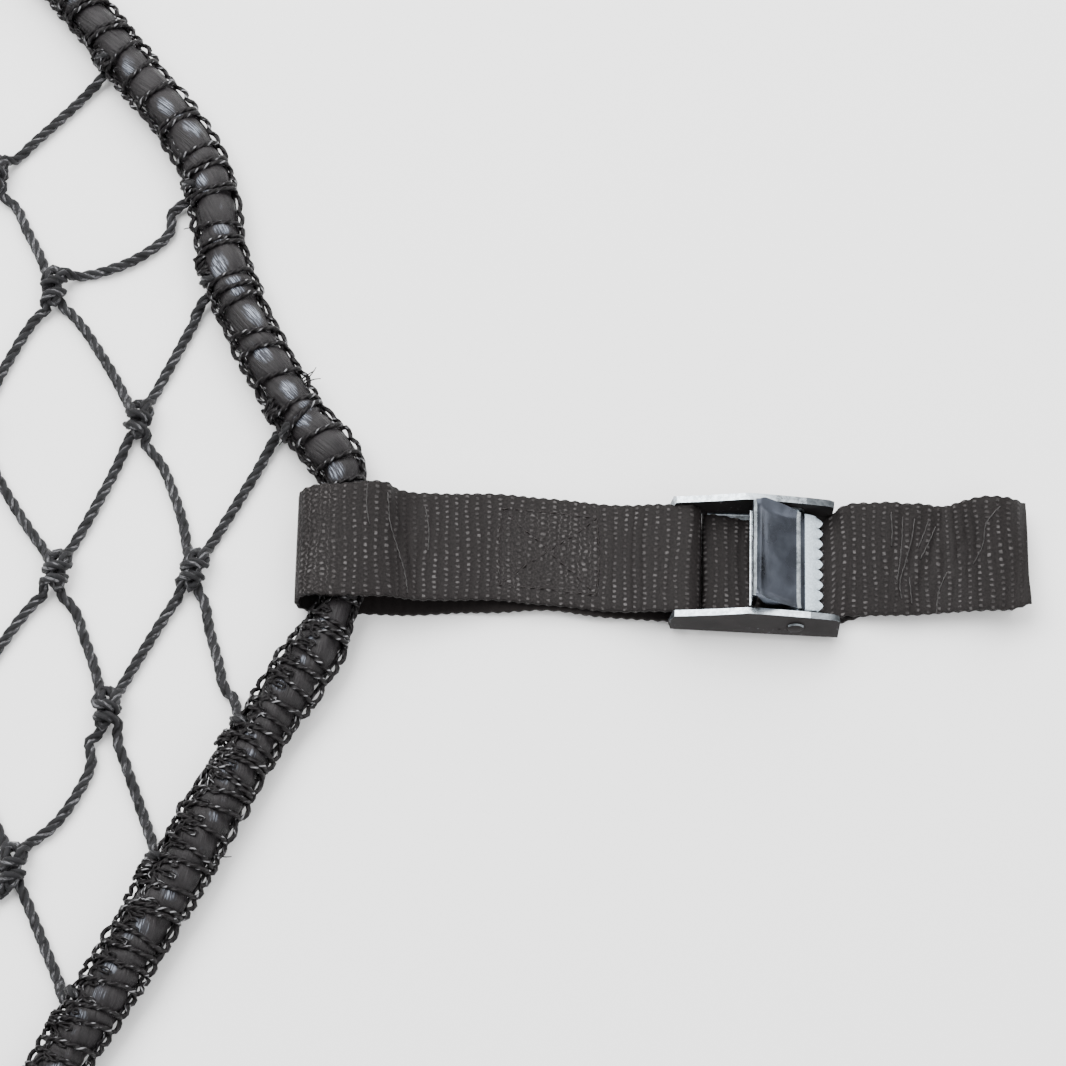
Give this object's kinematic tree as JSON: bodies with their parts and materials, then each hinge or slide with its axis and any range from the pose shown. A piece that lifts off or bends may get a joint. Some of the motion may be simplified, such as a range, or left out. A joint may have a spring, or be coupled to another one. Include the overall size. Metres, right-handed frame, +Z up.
{
  "type": "cargo net",
  "caption": "Small knotted cargo net of laid cord in an oversewn rope border, with a webbing tab, cam buckle and threaded strap at every corner.",
  "frame": {"origin": "on the floor under the middle of the box round the whole net and its straps", "axes": "+X towards the pulled corner that the picture shows, +Z up from the floor, +Y along the net's longer diagonal"},
  "size_m": [0.7811, 0.9076, 0.0152],
  "materials": {
    "laid_cord": "black laid polypropylene cord, slightly glossy strands",
    "border_rope": "black multifilament rope oversewn with black thread",
    "webbing": "black ribbed polypropylene webbing, matt",
    "plated_steel": "zinc plated sheet steel, satin, bright edges",
    "pin_steel": "dull steel rivet",
    "lever_steel": "blue-grey plated steel, satin"
  },
  "bodies": {
    "net": {"net_mesh": "laid_cord", "border_rope": "border_rope", "right_webbing_tab": "webbing", "right_threaded_strap": "webbing", "right_buckle_frame": "plated_steel", "right_rear_bar": "plated_steel", "right_pivot_pin": "pin_steel", "top_webbing_tab": "webbing", "top_threaded_strap": "webbing", "top_buckle_frame": "plated_steel", "top_rear_bar": "plated_steel", "top_pivot_pin": "pin_steel", "left_webbing_tab": "webbing", "left_threaded_strap": "webbing", "left_buckle_frame": "plated_steel", "left_rear_bar": "plated_steel", "left_pivot_pin": "pin_steel", "bottom_webbing_tab": "webbing", "bottom_threaded_strap": "webbing", "bottom_buckle_frame": "plated_steel", "bottom_rear_bar": "plated_steel", "bottom_pivot_pin": "pin_steel"},
    "right_lever": {"right_cam_lever": "lever_steel"},
    "top_lever": {"top_cam_lever": "lever_steel"},
    "left_lever": {"left_cam_lever": "lever_steel"},
    "bottom_lever": {"bottom_cam_lever": "lever_steel"}
  },
  "joints": [
    {"name": "right_cam_opening", "type": "hinge", "parent": "net", "child": "right_lever", "pos_m": [0.33989, -0.00177, 0.0064], "axis": [-0.0359, -0.9994, 0], "range_deg": [0, 15], "stiffness_Nm_per_rad": 0.03, "springref_deg": -45.84},
    {"name": "top_cam_opening", "type": "hinge", "parent": "net", "child": "top_lever", "pos_m": [-0.01685, 0.40145, 0.0064], "axis": [0.9903, 0.1392, 0], "range_deg": [0, 15], "stiffness_Nm_per_rad": 0.03, "springref_deg": -45.84},
    {"name": "left_cam_opening", "type": "hinge", "parent": "net", "child": "left_lever", "pos_m": [-0.33992, -0.0067, 0.0064], "axis": [-0.0523, 0.9986, 0], "range_deg": [0, 15], "stiffness_Nm_per_rad": 0.03, "springref_deg": -45.84},
    {"name": "bottom_cam_opening", "type": "hinge", "parent": "net", "child": "bottom_lever", "pos_m": [-0.02867, -0.40255, 0.0064], "axis": [-0.9681, 0.2504, 0], "range_deg": [0, 15], "stiffness_Nm_per_rad": 0.03, "springref_deg": -45.84}
  ]
}
